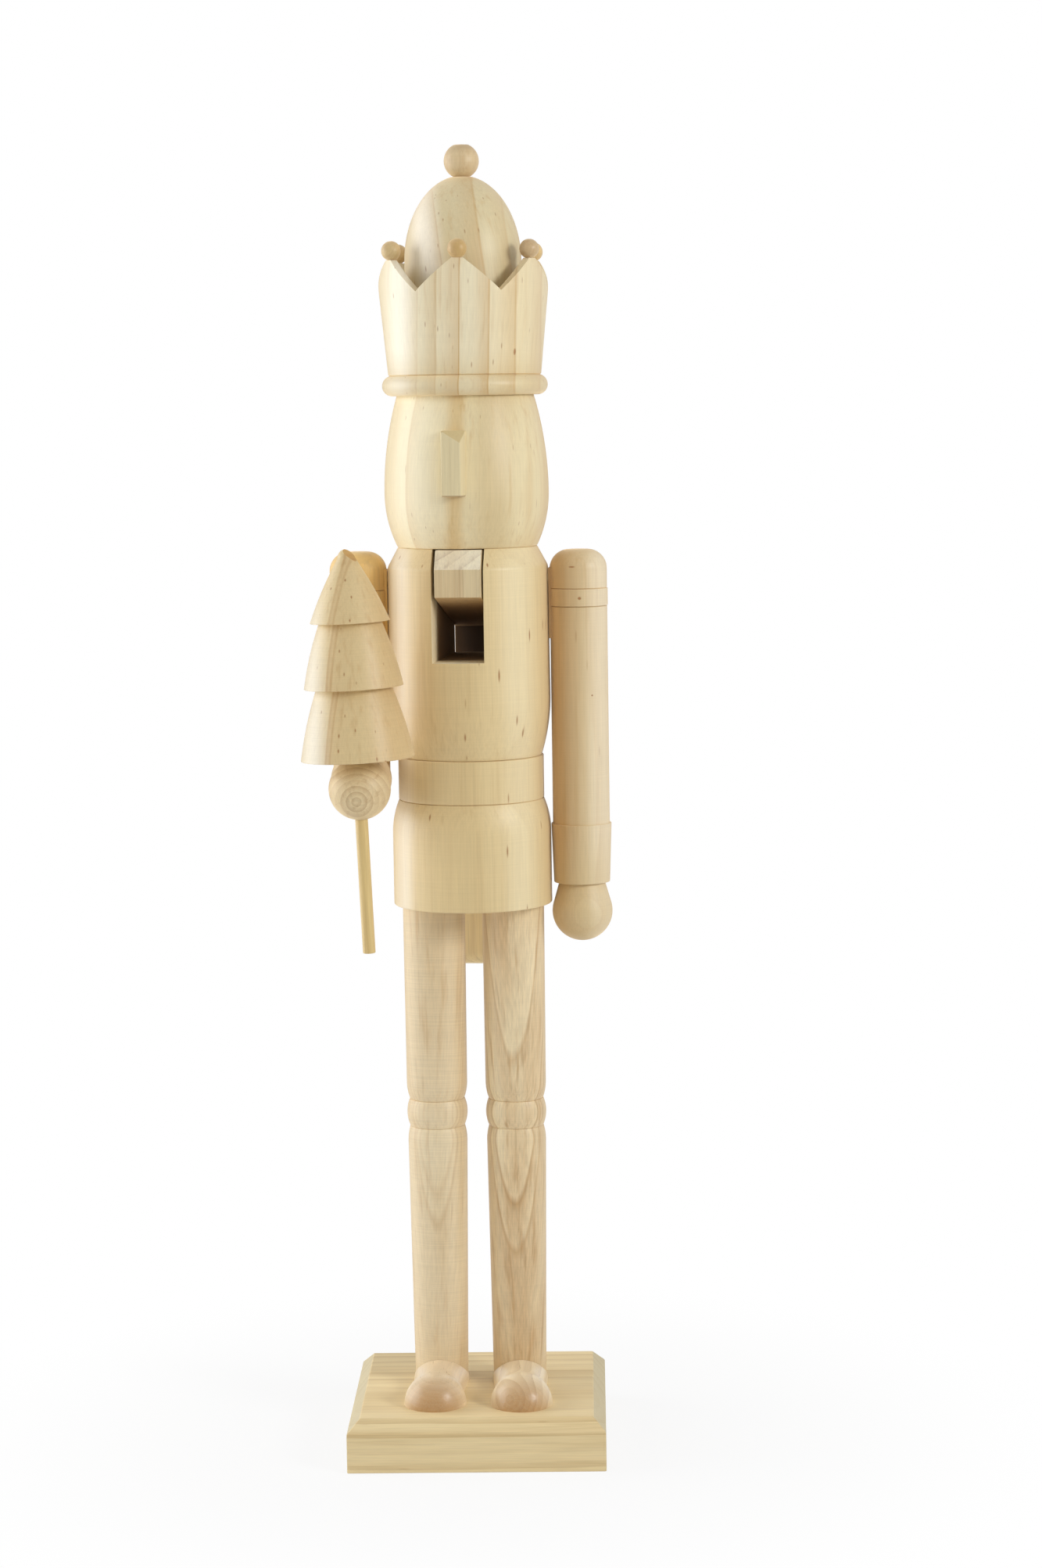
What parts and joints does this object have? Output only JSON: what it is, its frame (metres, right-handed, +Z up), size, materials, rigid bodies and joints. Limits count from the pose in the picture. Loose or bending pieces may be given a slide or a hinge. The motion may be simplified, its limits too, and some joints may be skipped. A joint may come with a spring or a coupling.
{
  "type": "nutcracker figure",
  "caption": "Unpainted turned-wood standing nutcracker with a pointed crown, a lever jaw, a bent arm holding a small tree on a staff, and a sloped-edge base.",
  "frame": {"origin": "middle of the base underside", "axes": "+Z up, the figure faces -Y, its left side is +X"},
  "size_m": [0.1394, 0.1389, 0.6096],
  "materials": {
    "base_wood": "planed, unfinished",
    "limb_wood": "turned, unfinished",
    "body_wood": "turned, unfinished",
    "head_wood": "turned, unfinished",
    "crown_wood": "turned, unfinished",
    "lever_wood": "sawn, unfinished",
    "tree_wood": "turned, unfinished",
    "dowel_wood": "unfinished dowel",
    "steel": "bright"
  },
  "bodies": {
    "figure": {"base": "base_wood", "left_foot": "limb_wood", "right_foot": "limb_wood", "left_leg": "limb_wood", "right_leg": "limb_wood", "torso": "body_wood", "pivot_pin": "steel", "head": "head_wood", "nose": "head_wood", "crown": "crown_wood", "crown_dome": "crown_wood", "finial_ball": "crown_wood", "crown_bead_1": "crown_wood", "crown_bead_2": "crown_wood", "crown_bead_3": "crown_wood", "crown_bead_4": "crown_wood", "crown_bead_5": "crown_wood", "crown_bead_6": "crown_wood", "left_arm": "limb_wood", "right_upper_arm": "limb_wood", "right_forearm": "limb_wood", "leg_screws": "steel", "foot_dowels": "dowel_wood", "hip_dowels": "dowel_wood", "neck_dowels": "dowel_wood", "shoulder_dowels": "dowel_wood", "elbow_dowel": "dowel_wood", "crown_dowel": "dowel_wood", "finial_dowel": "dowel_wood", "bead_pins": "steel"},
    "lever": {"jaw_lever": "lever_wood"},
    "tree": {"tree": "tree_wood", "tree_staff": "dowel_wood"}
  },
  "joints": [
    {"name": "jaw_hinge", "type": "hinge", "parent": "figure", "child": "lever", "pos_m": [0.00077, 0.02098, 0.403], "axis": [0.9979, -0.0645, 0], "range_deg": [0, 25]},
    {"name": "tree_lift", "type": "slide", "parent": "figure", "child": "tree", "axis": [-0.0384, 0, 0.9993], "range_m": [0, 0.08]}
  ]
}
